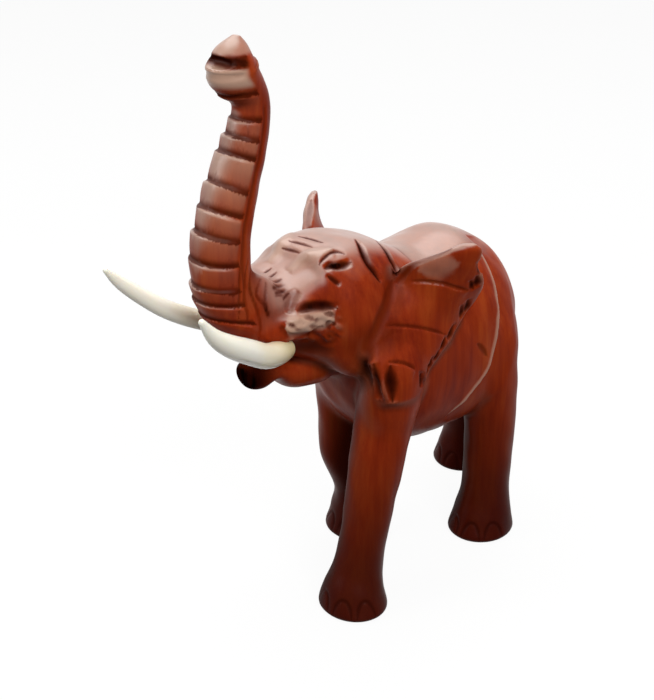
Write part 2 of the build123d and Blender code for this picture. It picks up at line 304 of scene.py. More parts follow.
class Clay:
    """A block of distances to a surface in mm, negative inside it."""

    def __init__(self, low: Sequence[float], high: Sequence[float], voxel: float, band: float) -> None:
        """Starts an empty block between two corners; its distances reach a band's width from the surface."""
        self.voxel = voxel
        self.cells = int(math.ceil(band / voxel))
        self.band = self.cells * voxel
        self.origin = np.floor(np.asarray(low) / voxel).astype(int)
        size = np.ceil(np.asarray(high) / voxel).astype(int) - self.origin + 1
        self.field = np.full(size, self.band, np.float32)
        self.lattice = vdb.createLinearTransform(voxelSize=voxel)
        self.strokes: list[Stroke] = []

    def _bake(self, shell: Shell) -> tuple[Array, tuple[slice, ...]]:
        """Distances to a shell, and the cells that they fill."""
        grid = vdb.FloatGrid.createLevelSetFromPolygons(
            shell.points, triangles=shell.triangles, quads=shell.quads,
            transform=self.lattice, halfWidth=float(self.cells))
        low, high = (np.array(corner) for corner in grid.evalActiveVoxelBoundingBox())
        low = np.maximum(low, self.origin)
        high = np.minimum(high, self.origin + self.field.shape - 1)
        values = np.zeros(high - low + 1, np.float32)
        grid.copyToArray(values, ijk=tuple(int(v) for v in low))
        cells = tuple(slice(int(a - o), int(b - o + 1)) for a, b, o in zip(low, high, self.origin))
        return values, cells

    def add(self, shell: Shell, melt: float) -> None:
        """Joins a shell to the clay, with a fillet about melt mm wide."""
        new, cells = self._bake(shell)
        old = self.field[cells]
        share = np.clip(0.5 + 0.5 * (new - old) / melt, 0, 1)
        joined = new + (old - new) * share - melt * share * (1 - share)
        self.field[cells] = np.where(new >= self.band * 0.999, old, joined)

    def add_both(self, shell: Shell, melt: float) -> None:
        """Joins a shell on both sides of the animal."""
        self.add(shell, melt)
        self.add(mirrored(shell), melt)

    def cut(self, shell: Shell, melt: float) -> None:
        """Takes a shell out of the clay, with an edge rounded over about melt mm."""
        new, cells = self._bake(shell)
        old = self.field[cells]
        share = np.clip(0.5 - 0.5 * (-new - old) / melt, 0, 1)
        left = -new + (old + new) * share + melt * share * (1 - share)
        self.field[cells] = np.where(new >= self.band * 0.999, old, left)

    def window(self, low: Sequence[float],
               high: Sequence[float]) -> tuple[tuple[slice, ...], Array, Array, Array]:
        """The cells between two corners, and their coordinates."""
        first, last = np.asarray(low, float) / self.voxel, np.asarray(high, float) / self.voxel
        first = np.clip(np.floor(first).astype(int) - self.origin, 0, np.array(self.field.shape) - 1)
        last = np.clip(np.ceil(last).astype(int) - self.origin + 1, 1, self.field.shape)
        cells = tuple(slice(int(a), int(max(a + 1, b))) for a, b in zip(first, last))
        x, y, z = ((np.arange(c.start, c.stop) + o) * self.voxel for c, o in zip(cells, self.origin))
        return (cells, x[:, None, None].astype(np.float32), y[None, :, None].astype(np.float32),
                z[None, None, :].astype(np.float32))

    def read(self, points: Array) -> Array:
        """Distances at points, read between the cells."""
        place = np.clip(points / self.voxel - self.origin, 0, np.array(self.field.shape) - 1.001)
        cell = np.floor(place).astype(int)
        part = place - cell
        total = np.zeros(len(points))
        for corner in range(8):
            step = np.array([corner & 1, corner >> 1 & 1, corner >> 2 & 1])
            weight = np.prod(np.where(step, part, 1 - part), axis=1)
            at = cell + step
            total += weight * self.field[at[:, 0], at[:, 1], at[:, 2]]
        return total

    def slope(self, points: Array, reach: float = 0.9) -> Array:
        """Outward unit directions at points."""
        out = np.empty_like(points)
        for axis in range(3):
            step = np.zeros(3)
            step[axis] = reach
            out[:, axis] = self.read(points + step) - self.read(points - step)
        return out / np.maximum(np.linalg.norm(out, axis=1, keepdims=True), 1e-9)

    def settle(self, points: Array) -> Array:
        """The points, moved onto the surface."""
        for _ in range(5):
            points = points - self.slope(points) * np.clip(self.read(points), -2.0, 2.0)[:, None]
        return points

    def carve(self, stroke: Stroke) -> None:
        """Makes one stroke of the gouge."""
        path = self.settle(stroke.points())
        other = stroke.width if stroke.other is None else stroke.other
        reach = max(stroke.width, other)
        cells, x, y, z = self.window(path.min(axis=0) - reach, path.max(axis=0) + reach)
        shape = np.broadcast_shapes(x.shape, y.shape, z.shape)
        near = np.full(shape, FAR, np.float32)
        along = np.zeros(shape, np.float32)
        ahead = np.zeros(shape, np.float32)
        total = len(path) - 1
        for index, (a, b) in enumerate(zip(path, path[1:])):
            step = b - a
            offset = (x - a[0], y - a[1], z - a[2])
            t = np.clip(dot(offset, step) / (float(step @ step) + 1e-9), 0, 1)
            away = [o - t * s for o, s in zip(offset, step)]
            gap = dot(away, away)
            closer = gap < near
            near = np.where(closer, gap, near)
            along = np.where(closer, (index + t) / total, along)
            ahead = np.where(closer, dot(away, np.asarray(stroke.toward, float)), ahead)
        width = np.where(ahead > 0, stroke.width, other)
        profile = np.clip(1 - np.sqrt(near) / width, 0, 1)
        if stroke.soft:
            profile = profile * profile * (3 - 2 * profile)
        self.field[cells] += (stroke.depth * profile * stroke.fade(along)).astype(np.float32)
        if stroke.stain != 0:
            self.strokes.append(replace(stroke, path=[tuple(p) for p in path[::2]]))

    def carve_both(self, stroke: Stroke) -> None:
        """Makes a stroke on both sides of the animal."""
        self.carve(stroke)
        self.carve(stroke.flipped())

    def ripple(self, depth: float, length: float, seed: int, low: Sequence[float], high: Sequence[float],
               fade: float) -> None:
        """Raises and lowers the surface by a wavy pattern that dies out towards two corners."""
        cells, x, y, z = self.window(low, high)
        pick = np.random.default_rng(seed)
        waves = 7
        total = 0
        for _ in range(waves):
            way = pick.normal(size=3)
            way *= math.tau / length * pick.uniform(0.7, 1.5) / np.linalg.norm(way)
            phase = pick.uniform(0, math.tau)
            wave = np.exp(1j * (x * way[0] + phase)) * np.exp(1j * y * way[1])
            total = total + (wave.astype(np.complex64) * np.exp(1j * z * way[2]).astype(np.complex64)).real
        for axis, spot in enumerate((x, y, z)):
            total = total * soft_step(0, fade, np.minimum(spot - low[axis], high[axis] - spot))
        self.field[cells] += (total * depth / 2.6).astype(np.float32)

    def surface(self) -> tuple[Array, list[tuple[int, ...]]]:
        """The surface as points in mm and faces."""
        grid = vdb.FloatGrid(self.band)
        grid.transform = self.lattice
        grid.copyFromArray(np.clip(self.field, -self.band, self.band), ijk=tuple(int(v) for v in self.origin))
        points, triangles, quads = grid.convertToPolygons(0.0, 0.0)
        return np.asarray(points, float), face_list(quads[:, ::-1], triangles[:, ::-1])


# ---------------------------------------------------------------- the animal's parts


@dataclass
class Torso:
    """The barrel, and the narrower hindquarters behind its rim.

    Attributes:
        barrel: rows of y, x, height of the widest line, half width, rise and drop.
        hindquarters: the same for the rump.
        fullness: squareness of the belly, where 2 is an ellipse.
        rim: line of the crest where the barrel ends and the thigh begins.
        nick: a small mark on the left flank.
    """

    barrel: Path = (
        (38.5, 0, 105.5, 21, 28, 29), (36, 0, 105.5, 30.3, 39.5, 40), (31.5, 0, 105.5, 35, 44.2, 44.8),
        (24, 0, 105.5, 36.6, 45.4, 46.2), (4, 0, 106, 36.8, 42.2, 46.5), (-16, 0, 108, 35, 43.2, 44),
        (-31, 0, 111, 24, 37, 32), (-40.5, 0, 116, 15, 22, 16),
    )
    hindquarters: Path = (
        (75.5, -8, 103, 2, 2.5, 3), (73, -8, 103, 8, 10, 11.5), (67, -7, 103, 15.5, 20, 22),
        (57, -3, 104, 24.6, 30.5, 33.5), (43, -0.5, 105, 31.6, 39.2, 41.5), (28, 0, 105.5, 33.4, 44.6, 43.5),
        (8, 0, 106, 32, 40.5, 42),
    )
    fullness: float = 2.5
    rim: Path = (
        (10, 34.5, 148.0), (19.9, 34.7, 141.4), (25.2, 34.4, 135.0), (31.9, 32.4, 123.4), (35.1, 30.1, 115.5),
        (36.6, 28.2, 108.9), (36.6, 23.4, 94.8), (35.5, 16.7, 86.8), (34.9, 9.5, 80.5), (31.3, 1.9, 75.5),
    )
    nick: Path = ((36.9, 14, 110), (36.9, 17.5, 106), (36.9, 20.6, 101.8))

    def shape(self, clay: Clay) -> None:
        """Adds the torso's rounded forms."""
        for rows, melt in ((self.barrel, 0.5), (self.hindquarters, 1.5)):
            rings = [egg_ring(x, y, z, w, r, d, 2, self.fullness) for y, x, z, w, r, d in flow(rows, 10)]
            clay.add(close_rings(rings), melt)

    def carve(self, clay: Clay) -> None:
        """Cuts the thigh back behind the barrel's rim."""
        ends = (0.25, 0.15)
        clay.carve_both(Stroke(self.rim, 15, 2.3, other=0.9, toward=(0, 0.86, -0.5), ends=ends))
        # the rim's crest, raised and painted pale as a highlight, with wear
        clay.carve_both(Stroke(self.rim, 1.5, -0.6, soft=True, ends=ends, stain=-0.5))
        clay.carve(Stroke(self.nick, 1.6, 0.5, soft=True, stain=0.5))


@dataclass
class Head:
    """The head, with its jaw, the swollen lips over the tusks, the eyes and the carved creases.

    Attributes:
        skull: rows of y, height of the widest line, half width, rise and drop.
        fullness: squareness of the brow and cheeks, where 2 is an ellipse.
        jaw: rows of y, z, half width and half height.
        lip: rows of y, x, z, half width and half height.
        eye_sunk: how deep the eyeball's middle lies.
        rough_patch: corners of the rubbed patch beside the tusk.
    """

    skull: Path = (
        (-8, 119, 23, 31.5, 24), (-22, 128, 25.5, 31, 31), (-40, 134, 25.5, 30.2, 31),
        (-55.5, 138.2, 23.8, 24.8, 27), (-62, 140.2, 22.6, 18.4, 24.5), (-70, 142, 20.3, 13.4, 21),
        (-82, 144, 15, 9.6, 13.5),
    )
    fullness: float = 2.8
    jaw: Path = (
        (-38, 115, 14, 13), (-54, 111, 12, 10.5), (-66, 111, 10, 7.4), (-73, 114.2, 8.4, 4.8),
        (-80, 113.6, 7.6, 6.2), (-84.5, 114.2, 6.2, 5.8), (-87.2, 115.2, 3.4, 3.6),
    )
    lip: Path = (
        (-54, 14, 141, 3, 3), (-58, 14.6, 141, 7, 6), (-66, 15, 140.5, 8.2, 7.6),
        (-76, 14.6, 139.6, 7.8, 7.2), (-84, 13, 139, 5.4, 5.4), (-88, 12, 139, 2, 2.4),
    )
    mouth_place: Sequence[float] = (24.5, -72, 123.5)
    mouth_size: Sequence[float] = (9, 17, 7.5)
    eye_place: Sequence[float] = (18.6, -52.5, 159.4)
    eye_outward: Sequence[float] = (0.70, -0.15, 0.70)
    eyeball_size: Sequence[float] = (2.5, 1.3, 1.1)
    eye_sunk: float = 1.9
    rough_patch: Path = ((15, -84, 128.0), (28, -54, 146.0))
    root_place: Sequence[float] = (8.0, -84.5, 147)
    root_size: Sequence[float] = (7.2, 9, 13)

    def shape(self, clay: Clay) -> None:
        """Adds the skull, cuts the mouth's sides and adds the lips and the jaw."""
        rings = [egg_ring(0, y, z, w, r, d, self.fullness, 2) for y, z, w, r, d in flow(self.skull, 10)]
        clay.add(close_rings(rings), 5)
        mouth = ellipsoid(self.mouth_place, self.mouth_size)
        for hollow in (mouth, mirrored(mouth)):
            clay.cut(hollow, 3)
        clay.add_both(tube(flow(self.lip)[:, [1, 0, 2, 3, 4]]), 1.5)
        jaw = [egg_ring(0, y, z, w, h, h, 2, 2, 96) for y, z, w, h in flow(self.jaw)]
        clay.add(close_rings(jaw), 3)
        clay.add_both(ellipsoid(self.root_place, self.root_size), 6)

    def carve(self, clay: Clay) -> None:
        """Carves the face."""
        for stroke in self.creases():
            clay.carve_both(stroke)
        for stroke in self.wrinkles():
            clay.carve(stroke)
        for side in Side:
            low, high = np.sort(np.array(self.rough_patch) * (side.value, 1, 1), axis=0)
            clay.ripple(0.35, 3.6, 11 + side.value, low, high, fade=4)
        sunk = np.asarray(self.eye_place) - np.asarray(self.eye_outward) * self.eye_sunk
        clay.add_both(ellipsoid(sunk, self.eyeball_size, (0, 1, 0), self.eye_outward), 0.3)

    def creases(self) -> Iterator[Stroke]:
        """The cuts that both sides of the face have."""
        yield Stroke(((15.3, -59.2, 160.4), (14.1, -55, 161.9), (13.7, -50.9, 162.8), (14.5, -47.9, 162.8),
                      (16.7, -45.5, 161.8)), 0.9, 0.9, stain=0.8)
        yield Stroke(((15.3, -60.2, 161.4), (12.6, -55, 163.4), (12.0, -50.9, 164.0), (13, -46.9, 164.0)),
                     1.6, -0.5, soft=True)
        yield Stroke(((19.3, -58.1, 157.0), (20.9, -56.4, 154.9), (22.4, -54.1, 152.2)), 1.3, 1.6,
                     ends=(0.5, 0.2), stain=0.9)
        # the brow ridge, raised and painted pale as a highlight
        yield Stroke(((6.2, -68, 160.9), (7.8, -62.1, 162.3), (10.3, -55.8, 163.1), (13.6, -49.2, 163.1)),
                     5.0, -1.7, soft=True, ends=(0.5, 0.5), stain=-0.5)
        yield Stroke(((17.4, -58, 158.9), (17.6, -54.6, 159.4), (18.7, -52.4, 159.0), (19.5, -48.7, 158.8),
                      (19.7, -45.2, 159.1)), 2.3, 2.2, soft=True, stain=1.0)
        yield Stroke(((19.6, -74.2, 146.5), (20.2, -71.6, 146.5), (20.8, -69, 146.6), (21.9, -65.1, 146.3),
                      (23.3, -60.4, 145.0), (23.7, -57, 143.7)), 2.4, 2.6, soft=True, stain=1.0)
        # the swollen band over the mouth, painted pale with wear and a painted sheen
        yield Stroke(((19, -80, 140.5), (21.5, -76, 141), (22.5, -70, 141), (23, -63, 140.5),
                      (23, -58.5, 138.5)), 5.2, -0.3, soft=True, ends=(0.1, 0.15), stain=-0.95)
        yield Stroke(((17.6, -70.8, 154.2), (17.6, -73.9, 151.7), (17.7, -76.1, 148.1), (18.6, -77.4, 145.4)),
                     3.2, 1.5, soft=True, stain=0.35)
        yield Stroke(((23.1, -61.6, 139.5), (22.7, -60.2, 135.5)), 1.6, 1.3, soft=True, stain=0.6)
        yield Stroke(((23.3, -67.6, 141.5), (23.2, -66.4, 139.0)), 1.1, 0.7, soft=True)
        yield Stroke(((21.3, -74.6, 143.0), (21.6, -73.4, 140.5)), 1.1, 0.6, soft=True)
        yield Stroke(((18.9, -81.8, 142.2), (20.4, -80.4, 138.6), (22, -75.2, 136.6), (22, -69.1, 135.4),
                      (20.8, -63.6, 131.4), (20.6, -60.4, 128.6), (22.0, -57.4, 129.4), (23.2, -56, 132.5)),
                     1.8, 1.3, ends=(0.2, 0.2), stain=0.4)
        for path in (
            ((8.9, -32.7, 163.1), (16.9, -36.4, 160.7), (21, -37.5, 156.6), (23, -36.5, 152.6),
             (24.1, -35.3, 148)),
            ((2.8, -15.2, 156.6), (11.7, -19.9, 157.1), (18.4, -22.4, 154.4), (21.6, -23.1, 150.7),
             (26, -25.8, 148.8)),
        ):
            yield Stroke(path, 2.4, 2.0, other=1.4, toward=(0, 1, 0), ends=(0.35, 0.25), stain=0.95)
        for path in self.trunk_root_cuts():
            yield Stroke(path, 0.75, 0.65, ends=(0.4, 0.4), stain=0.5)

    def trunk_root_cuts(self) -> list[Path]:
        """The fan of short cuts over the trunk's root, and the streaks down its side."""
        return [
            ((4.2, -78.4, 157.7), (4.6, -73.9, 159.3)), ((8, -78.6, 157), (9.3, -73.8, 158.6)),
            ((10.4, -79.4, 155.8), (12.3, -74.1, 157.3)),
            ((11.1, -81.8, 153.8), (13, -78.6, 154.6), (14.8, -75, 155.1)),
            ((13.6, -81.2, 152.1), (15.6, -76.8, 152.8)), ((0.2, -77.4, 158.2), (0.6, -74.2, 159.3)),
            ((11.5, -94.6, 171.4), (12.2, -96, 165.3), (11.8, -97, 155.4), (10.8, -96.5, 147.4)),
            ((11, -90.6, 169.8), (12.4, -93.4, 162.7), (12, -94.5, 153), (11.4, -92.1, 141.4)),
            ((11, -86, 166), (12.6, -91.2, 158.4), (12.8, -89.4, 148.8), (12.4, -87.1, 138)),
            ((10, -84, 160), (12.2, -88.9, 155), (12.2, -86.1, 149.8), (13.1, -85, 144.2)),
            ((9.5, -83, 157), (11, -85.6, 150.9), (12.3, -84.8, 144.7)),
        ]

    def wrinkles(self) -> Iterator[Stroke]:
        """The three cuts across the forehead, and the hair cuts where the trunk begins."""
        for path in (
            ((-6.1, -60, 161.2), (-1.6, -58.8, 161.2), (4.3, -58.6, 161.6)),
            ((-7.2, -55.9, 163.3), (-1, -54.6, 163.2), (5.9, -53.5, 163.2)),
            ((-6.2, -50.9, 163.9), (-0.2, -49.6, 164.1), (6.5, -48.9, 164)),
        ):
            yield Stroke(path, 0.95, 0.85, ends=(0.35, 0.35), stain=0.8)
        for path in (
            ((-2.4, -72.5, 154.8), (-2.6, -70.7, 155.2), (-2.5, -68.3, 155.8)),
            ((3.2, -74, 154.8), (2.3, -71.9, 155.2), (1.6, -69.1, 155.8)),
            ((8.4, -76.5, 154.7), (7.6, -73.8, 154.8), (6.8, -71, 155.2)),
            ((12.6, -80.5, 155.4), (11.9, -78, 154.9), (10.2, -72.6, 154.1)),
            ((14.2, -80.5, 153.6), (13.7, -78.1, 153.2), (13.2, -73.9, 152.9)),
            ((15.7, -77.8, 150.4), (14.9, -75.7, 151.2), (14.4, -73.1, 151.8)),
        ):
            yield Stroke(path, 0.9, 0.9, ends=(0.35, 0.35), stain=0.8)


@dataclass
class Trunk:
    """The raised trunk: rings carved across its front, and an end with two lips.

    Attributes:
        rows: y, z, half width and half depth, from root to tip.
        edges: heights of the rings' top edges on the trunk's centre line.
        proud: how far each ring's top edge stands out.
        lean: slope of each ring's top edge from side to side.
        tilt: height and slope of the ring planes at it; a positive slope is higher at the front.
        sunk: how far below the smooth trunk the rings start.
        slot_height: height of the slot between the lips.
        rear: the whole trunk lies in front of this y.
    """

    rows: Path = (
        (-84, 136, 12, 11), (-91.4, 146, 12.6, 11.6), (-95.2, 158, 12.4, 11.6), (-95.5, 170, 11.9, 11.2),
        (-93, 183, 11.1, 10.6), (-88.5, 196, 10.2, 9.9), (-83.3, 208, 8.9, 8.9), (-79.4, 219.5, 7.5, 7.8),
        (-79.2, 226.5, 7.2, 7.1), (-81.8, 232, 8.2, 7.8), (-86.8, 238.2, 9.8, 10.4), (-86.4, 243, 8.4, 8.8),
        (-85.3, 248, 5.2, 5.2), (-84.7, 251.5, 1.6, 1.4),
    )
    edges: Sequence[float] = (
        136, 143.3, 151.3, 158.5, 168, 177.5, 185.4, 194.5, 205.6, 212.6, 219.5, 230.4, 238,
    )
    proud: Sequence[float] = (0.8, 1.1, 1.2, 1.0, 1.3, 1.2, 1.1, 1.3, 1.2, 0.9, 0.6, 0.35)
    lean: Sequence[float] = (0.05, 0.0, -0.03, 0.04, 0.0, 0.05, -0.04, 0.03, -0.02, 0.05, 0.0, 0.0)
    tilt: Path = (
        (136, 0.35), (145, 0.2), (153, 0.06), (165, 0.02), (176, 0.16), (187, 0.34), (200, 0.4), (212, 0.33),
        (220, 0.15), (228, 0.0), (236, -0.1),
    )
    sunk: float = 0.5
    slot_height: float = 243.4
    rear: float = -68.0

    def shape(self, clay: Clay) -> None:
        """Adds the trunk's smooth form."""
        rows = flow([(0, y, z, w, d) for y, z, w, d in self.rows], 10)
        clay.add(tube(rows), 5)

    def level(self, x: Array, y: Array, z: Array) -> tuple[Array, Array]:
        """Height on the tilted ring planes, and the turn round the trunk in degrees from the front."""
        rows = flow(self.rows, 10)
        centre = np.interp(z, rows[:, 1], rows[:, 0])
        heights, slopes = zip(*self.tilt)
        turn = np.degrees(np.arctan2(np.abs(x), centre - y))
        return z + np.interp(z, heights, slopes) * (y - centre), turn

    def carve(self, clay: Clay) -> None:
        """Carves the rings, the groove that they stop at and the slot in the end."""
        cells, x, y, z = clay.window((-17, -112, 136), (17, -66, 239))
        level, turn = self.level(x, y, z)
        rise = np.zeros(np.broadcast_shapes(x.shape, level.shape), np.float32)
        for low, high, proud, lean in zip(self.edges, self.edges[1:], self.proud, self.lean):
            ring = level + lean * x
            share = np.clip((ring - low) / (high - low), 0, 1)
            lip = 1 - soft_step(high - 0.6, high + 0.8, ring)
            grow = soft_step(low + 0.1, low + 1.1, ring)
            rise += proud * 1.25 * (0.1 + 0.9 * share ** 0.8) * lip * grow
        front = 1 - soft_step(76, 88, turn)
        above = soft_step(137, 141, z)
        clay.field[cells] -= (rise - self.sunk) * front * above
        for side in Side:
            edge = [(side.value * 11.3 * w / 11, y0 + 1.2, z0) for y0, z0, w, _ in self.rows[2:9]]
            clay.carve(Stroke(edge, 1.1, 0.8, ends=(0.1, 0.3), stain=0.45))
        self.carve_tip(clay)

    def front(self, points: Array) -> Array:
        """How pale the ringed front is painted: a painted highlight, with wear, strongest at each ring's upper lip and
        high up the trunk.
        """
        x, y, z = points.T
        level, turn = self.level(x, y, z)
        share = np.zeros(len(points))
        for low, high, lean in zip(self.edges, self.edges[1:], self.lean):
            ring = level + lean * x
            share = np.where((ring > low) & (ring <= high + 0.3), (ring - low) / (high - low), share)
        height = np.interp(z, (140, 165, 185, 205, 214, 222), (0.0, 0.2, 0.6, 1.0, 0.6, 0.15))
        inside = band(z, (138, 146), (232, 238)) * (1 - soft_step(78, 88, turn)) * (y < self.rear)
        return height * (0.25 + 0.75 * np.clip(share, 0, 1)) * inside

    def pale_tip(self, points: Array) -> Array:
        """How pale the two lips at the trunk's end are painted: a painted sheen where they face up, with wear."""
        x, y, z = points.T
        turn = self.level(x, y, z)[1]
        lower = band(z, (233, 236), (240.8, 241.6)) * (1 - soft_step(78, 96, turn))
        upper = 0.45 * soft_step(245, 246.5, z)
        return np.maximum(lower, upper) * (y < self.rear)

    def shade(self, points: Array) -> Array:
        """How much painted shade darkens the groove over each ring's lip, and the slot."""
        x, y, z = points.T
        level, turn = self.level(x, y, z)
        dark = np.zeros(len(points))
        for edge, lean in zip(self.edges[1:-1], self.lean[1:]):
            up = level + lean * x - edge
            dark = np.maximum(dark, np.where(up > -0.2, 0.72 * (1 - soft_step(0.9, 3.4, up)), 0))
        inside = (z > 140) & (z < 236) & (turn < 88) & (np.abs(x) < 16) & (y < self.rear)
        slot = band(z, (240.8, 241.8), (245, 246)) * (1 - soft_step(88, 96, turn)) * (y < self.rear)
        return np.maximum(np.where(inside, dark, 0), 0.72 * slot)

    def carve_tip(self, clay: Clay) -> None:
        """Cuts the slot between the upper and the lower lip, and the crease under the lower one."""
        clay.cut(ellipsoid((0, -97.5, self.slot_height), (12.5, 6.4, 2.4), ACROSS, (0, 0.1, 1)), 0.8)
        curve = ((-9, -88), (-6, -91.5), (0, -92.5), (6, -91.5), (9, -88))
        back = [(x, y, self.slot_height) for x, y in curve]
        # the back of the slot, darkened with painted shade
        clay.carve(Stroke(back, 2.6, 0.2, soft=True, ends=(0, 0), stain=0.9))
        clay.carve(Stroke(((-6, -93, 233.5), (0, -92.5, 232.2), (8, -87, 231.8)), 2.0, 0.5, soft=True))


@dataclass
class Ear:
    """One ear: a leaf laid back against the shoulder whose upper corner stands free.

    Attributes:
        rows: x, y, z, half thickness, half length and flare in degrees, from lobe to tip.
        right_shift: how far forward and down each row of the right ear sits.
        chips: for each chip its top and bottom, as height and share of the half length, and its size.
    """

    rows: Path = (
        (38.8, -34.5, 103, 2.8, 8.5, -5), (37.6, -32.2, 110, 3.8, 15.3, -1.5),
        (35.6, -27.3, 118, 4.2, 20.8, 3), (33.3, -20.2, 127, 4.4, 24.5, 8.7),
        (33.4, -15.4, 136, 4.4, 23.6, 20), (34.8, -12, 146, 4, 19.8, 38),
        (39.3, -12.2, 155, 3.2, 14.6, 42), (45, -8, 161, 2.4, 8, 40), (46.6, -6.2, 163.8, 1.4, 3, 40),
    )
    right_shift: Path = (
        (0, 0), (0, 0), (0, 0), (0.5, 0), (2, 0), (5.4, 0.4), (2.4, 1), (0.4, 1.5), (-0.4, 1.7),
    )
    chips: Sequence[tuple[tuple[float, float], tuple[float, float], float]] = (
        ((156.5, 0.9), (149, 0.98), 0.9), ((149, 0.88), (142.5, 0.86), 1.1), ((147, 0.7), (141.5, 0.8), 0.9),
        ((136.5, 0.76), (128.5, 0.94), 1.0), ((134.5, 0.66), (126.5, 0.9), 1.0),
        ((125, 0.82), (119, 0.9), 1.2), ((121.5, 0.74), (115.5, 0.86), 1.0),
        ((117, 0.8), (112, 0.88), 1.0), ((115, 0.66), (109.5, 0.82), 1.0),
        ((112.5, 0.64), (107.5, 0.86), 1.0), ((111, 0.34), (104.5, 0.7), 1.1),
    )
    neck_place: Sequence[float] = (20, -42, 130)
    neck_size: Sequence[float] = (10.5, 16, 22)
    shoulder_place: Sequence[float] = (32, -33, 103)
    shoulder_size: Sequence[float] = (9.5, 12, 18)

    def shape(self, clay: Clay) -> None:
        """Adds both ears' leaves, and the neck's muscles in front of them."""
        other = [(x, y - forward, z - down, *sizes)
                 for (x, y, z, *sizes), (forward, down) in zip(self.rows, self.right_shift)]
        clay.add_both(ellipsoid(self.neck_place, self.neck_size), 8.0)
        clay.add_both(ellipsoid(self.shoulder_place, self.shoulder_size), 8.0)
        clay.add(self.leaf(self.rows), 7.0)
        clay.add(mirrored(self.leaf(other)), 7.0)

    @staticmethod
    def ways(flare: float) -> tuple[Array, Array]:
        """The directions out of and back along a leaf that flares by an angle in degrees."""
        turn = math.radians(flare)
        return (np.array([math.cos(turn), -math.sin(turn), 0]), np.array([math.sin(turn), math.cos(turn), 0]))

    def leaf(self, rows: Path) -> Shell:
        """Shapes one ear's leaf, on the left side."""
        rings = []
        c, s = circle(120)
        for x, y, z, thick, length, flare in flow(rows, 10):
            out, back = self.ways(flare)
            rings.append(np.array([x, y, z]) + np.outer(thick * c, out) + np.outer(length * s, back))
        return close_rings(rings)

    def carve(self, clay: Clay) -> None:
        """Carves the folds, the lobes and the chips along the rear edge."""
        for stroke in self.cuts():
            clay.carve_both(stroke)

    def cuts(self) -> Iterator[Stroke]:
        """All the cuts of one ear."""
        yield Stroke(((25.5, -25.5, 145), (28.3, -24.6, 150.2), (32, -22.8, 155.6), (34.6, -19.9, 159),
                      (38.2, -15.6, 161.5), (42.1, -12.3, 163.3)), 2.2, 1.3, ends=(0.2, 0.2), stain=0.5)
        # a soft cut along the ear's front edge, darkened with painted shade
        yield Stroke(((23, -27.6, 146), (25.6, -37.6, 136), (29.6, -44.6, 127), (33.5, -47.5, 120)), 4.0, 1.2,
                     soft=True, ends=(0.2, 0.2), stain=0.5)
        # a broad rise on the ear's upper face, painted paler as a highlight
        yield Stroke(((34, -21, 152.5), (38.5, -16.5, 155), (44, -10, 156.5)), 9.0, -0.1, soft=True,
                     ends=(0.5, 0.5), stain=-0.28)
        for path, drop in (
            (((30.6, -22.9, 146.8), (34.9, -18.5, 146.8), (39.4, -12.6, 145.5), (41.8, -7.9, 143.4),
              (43.3, -2.1, 141.2)), 7),
            (((31.1, -37.7, 131.4), (33.6, -32.8, 131), (36, -26.5, 129.6), (38, -19, 126.6),
              (38.4, -9.6, 121.5)), 7),
            (((37.7, -41.6, 118.9), (39.4, -36.4, 117.3), (40.9, -30.3, 113.1)), 5),
        ):
            fold = Stroke(path, 0.7, -0.7, other=drop, ends=(0.3, 0.15))
            yield fold
            yield fold.moved((0, 0, 0.8), width=0.9, depth=0.9, other=1.2, stain=0.6)
        for path in (
            ((35, -46.9, 119.7), (36.4, -47.4, 113.4), (36.4, -45, 103)),
            ((38.3, -41, 118), (40, -42.3, 112.7), (40.6, -41.5, 103)),
        ):
            yield Stroke(path, 3.4, 3.0, soft=True, ends=(0.5, 0.4), stain=1.0)
        yield Stroke(((41, -27.9, 112.3), (40, -24.4, 106.6), (37.5, -21.5, 101)), 1.4, 1.5, stain=0.6)
        for top, bottom, size in self.chips:
            high, low = self.outer(*top), self.outer(*bottom)
            path = (tuple(high), tuple((high + low) / 2), tuple(low))
            yield Stroke(path, 2.0 * size, 2.3 * size, soft=True, ends=(0.6, 0.35), stain=1.0)

    def outer(self, z: float, share: float) -> Array:
        """The point of the leaf's outer face at a height and a share of its half length."""
        table = np.array(self.rows)
        x, y, thick, length, flare = (np.interp(z, table[:, 2], table[:, i]) for i in (0, 1, 3, 4, 5))
        out, back = self.ways(flare)
        bulge = thick * math.sqrt(1 - share * share)
        return np.array([x, y, z]) + share * length * back + bulge * out


@dataclass
class Leg:
    """One leg, from inside the body down to its flat sole.

    Attributes:
        centres: x and y of the leg's line at each level.
        girths: half sizes across and along the body at each level.
        nails: middle of each toenail's upper edge, as an angle round the foot with 0 at the front.
    """

    centres: Path
    girths: Path
    side: Side
    nails: Sequence[float] = (-20, 25, 68)
    levels: Sequence[float] = (124, 116, 104, 86, 64, 42, 22, 10, 3, 0)

    def shape(self, clay: Clay) -> None:
        """Adds the leg, with a sole whose rim is a little rounded."""
        rows = [(x, y, z, w, d) for (x, y), z, (w, d) in zip(self.centres, self.levels, self.girths)]
        c, s = circle(96)
        rings = []
        for x, y, z, w, d in flow(rows, 8):
            sole = 1 - 0.10 * max(0.0, 1 - z / 2.4) ** 2
            rings.append(np.stack([x + w * sole * c, y + d * sole * s, np.full(96, z)], 1))
        clay.add(close_rings(rings), 4)

    def carve(self, clay: Clay) -> None:
        """Carves the toenails."""
        x, y = self.centres[-2]
        w, d = self.girths[-2]
        for middle in self.nails:
            path = []
            for turn, height in ((-17, 2.0), (-14, 6.5), (-6, 9.6), (6, 9.6), (14, 6.5), (17, 2.0)):
                angle = math.radians(middle + turn)
                shrink = 1 - 0.012 * height
                out = self.side.value * w * shrink * math.sin(angle)
                path.append((x + out, y - d * shrink * math.cos(angle), height))
            clay.carve(Stroke(path, 1.0, 0.55, ends=(0.2, 0.2), stain=0.4))


